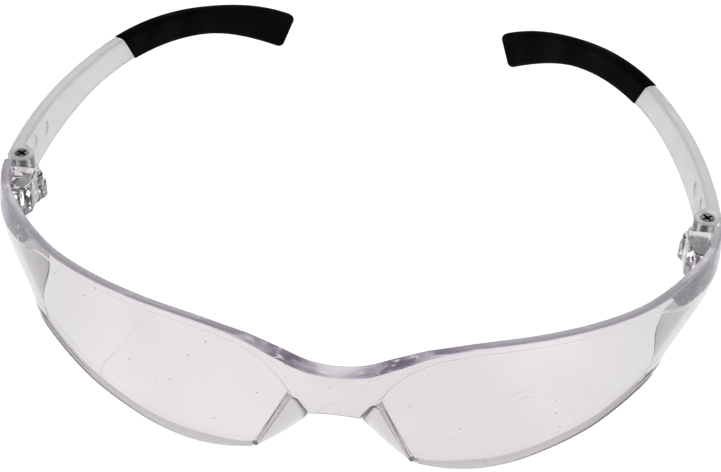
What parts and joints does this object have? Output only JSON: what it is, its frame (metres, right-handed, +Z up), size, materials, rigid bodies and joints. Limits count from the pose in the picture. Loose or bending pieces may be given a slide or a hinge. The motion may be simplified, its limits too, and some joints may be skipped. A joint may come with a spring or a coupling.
{
  "type": "safety glasses",
  "caption": "Frameless wraparound safety glasses: one-piece clear lens with brow ledge, nose flanges and side wings, and folding clear temples with black rubber tips on screwed hinges.",
  "frame": {"origin": "on the table, under the middle of the box round the open glasses", "axes": "+X across the face towards the temple that is on the right seen from the front (the wearer's left), -Y the way the wearer looks, +Y back to the ears, +Z up"},
  "size_m": [0.1486, 0.1608, 0.0436],
  "materials": {
    "clear_lens": "polished clear polycarbonate with a faint lilac-grey tint",
    "clear_temple": "satin milky-clear polycarbonate",
    "black_rubber": "matte soft-touch",
    "screw_steel": "darkened steel, cross recess"
  },
  "bodies": {
    "lens": {"lens": "clear_lens"},
    "left_arm": {"left_temple": "clear_temple", "left_tip": "black_rubber", "left_screw": "screw_steel"},
    "right_arm": {"right_temple": "clear_temple", "right_tip": "black_rubber", "right_screw": "screw_steel"}
  },
  "joints": [
    {"name": "left_fold", "type": "hinge", "parent": "lens", "child": "left_arm", "pos_m": [-0.071, -0.03745, 0.0356], "axis": [0, 0, -1], "range_deg": [0, 74]},
    {"name": "right_fold", "type": "hinge", "parent": "lens", "child": "right_arm", "pos_m": [0.071, -0.03745, 0.0356], "axis": [0, 0, 1], "range_deg": [0, 82]}
  ]
}
